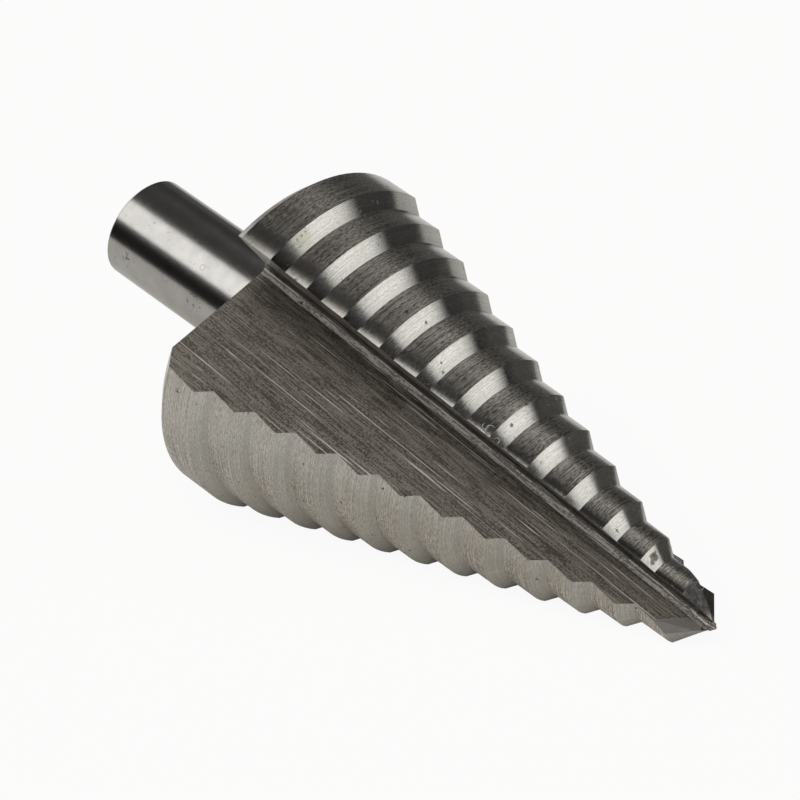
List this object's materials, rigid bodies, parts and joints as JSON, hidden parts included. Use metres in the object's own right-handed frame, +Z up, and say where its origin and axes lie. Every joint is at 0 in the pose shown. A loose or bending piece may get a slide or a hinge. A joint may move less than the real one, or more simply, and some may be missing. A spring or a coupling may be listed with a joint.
{
  "type": "step drill",
  "caption": "Cone-shaped step drill with cylindrical lands that grow in steps, straight flutes, a short point and a plain round shank, lying on one flute.",
  "frame": {"origin": "centre of the bounding box at the surface the drill lies on", "axes": "+X along the drill towards its point, +Z up from the surface, +Y to the left of the drill seen from its shank"},
  "size_m": [0.0864, 0.0406, 0.0387],
  "materials": {
    "ground_steel": "bare ground high speed steel, polished shank"
  },
  "bodies": {
    "root": {"step_drill": "ground_steel"}
  },
  "joints": []
}
